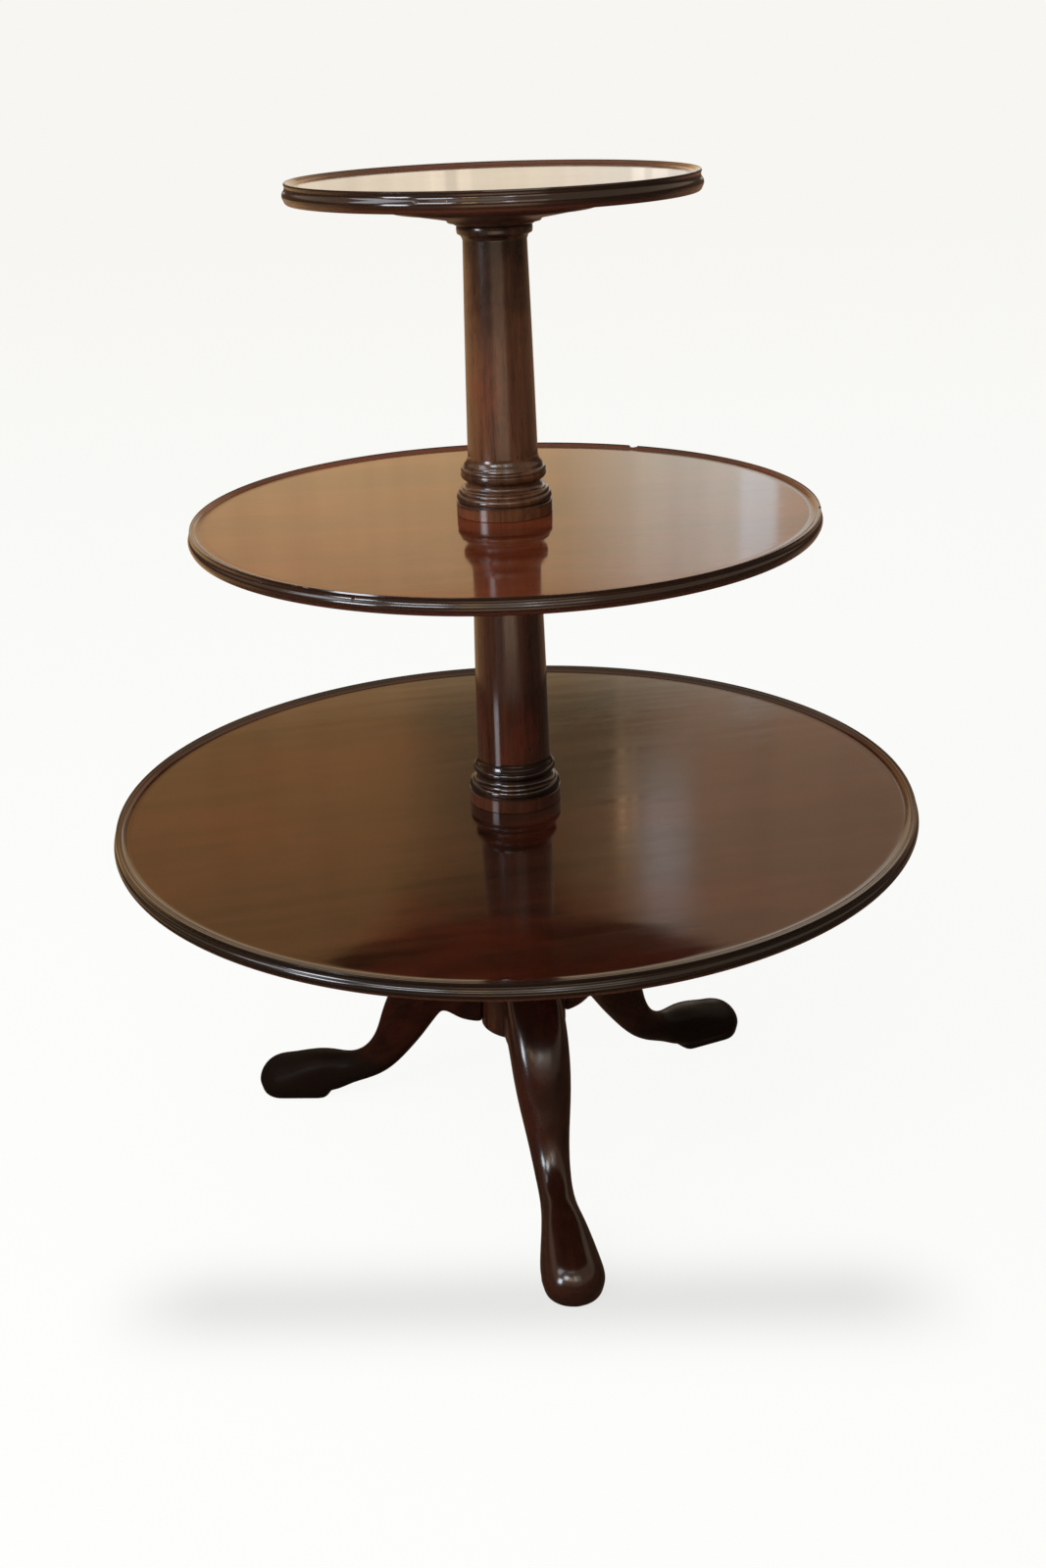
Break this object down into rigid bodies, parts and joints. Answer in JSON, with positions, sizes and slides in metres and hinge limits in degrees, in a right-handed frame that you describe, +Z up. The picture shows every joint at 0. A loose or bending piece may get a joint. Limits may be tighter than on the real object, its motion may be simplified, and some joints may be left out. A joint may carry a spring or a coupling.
{
  "type": "dumbwaiter serving stand",
  "caption": "Dumbwaiter serving stand: round dished trays in graduated tiers turn on a ring-turned column over cabriole legs with pad feet.",
  "frame": {"origin": "on the floor, at the middle of the stand's bounding box, which lies on the axis of the column", "axes": "+Z up along the column; -Y towards the front leg; +X to the right when looking along +Y"},
  "size_m": [0.7496, 0.7496, 0.927],
  "materials": {
    "polished_hardwood": "dark red-brown, high gloss polish with near-black patina in the recesses",
    "tray_hardwood": "dark red-brown figured wood, high gloss polish",
    "plain_hardwood": "dark hardwood, dull",
    "black_iron": "hammered, dark with age",
    "steel_screws": "dull with age"
  },
  "bodies": {
    "stand": {"leg_front": "polished_hardwood", "leg_back_right": "polished_hardwood", "leg_back_left": "polished_hardwood", "base_column": "polished_hardwood", "leg_strap": "black_iron", "leg_strap_screws": "steel_screws", "lower_barrel": "polished_hardwood", "upper_barrel": "polished_hardwood", "top_retaining_washer": "black_iron", "top_retaining_screw": "steel_screws"},
    "bottom_tier": {"bottom_tray": "tray_hardwood", "bottom_tray_boss": "plain_hardwood", "bottom_tray_screws": "steel_screws"},
    "middle_tier": {"middle_tray": "tray_hardwood", "middle_tray_boss": "plain_hardwood", "middle_tray_screws": "steel_screws"},
    "top_tier": {"top_tray": "tray_hardwood", "top_tray_boss": "plain_hardwood", "top_tray_screws": "steel_screws"}
  },
  "joints": [
    {"name": "bottom_tray_spin", "type": "hinge", "parent": "stand", "child": "bottom_tier", "pos_m": [0, 0, 0.3665], "axis": [0, 0, 1], "continuous": true},
    {"name": "middle_tray_spin", "type": "hinge", "parent": "stand", "child": "middle_tier", "pos_m": [0, 0, 0.642], "axis": [0, 0, 1], "continuous": true},
    {"name": "top_tray_spin", "type": "hinge", "parent": "stand", "child": "top_tier", "pos_m": [0, 0, 0.9105], "axis": [0, 0, 1], "continuous": true}
  ]
}
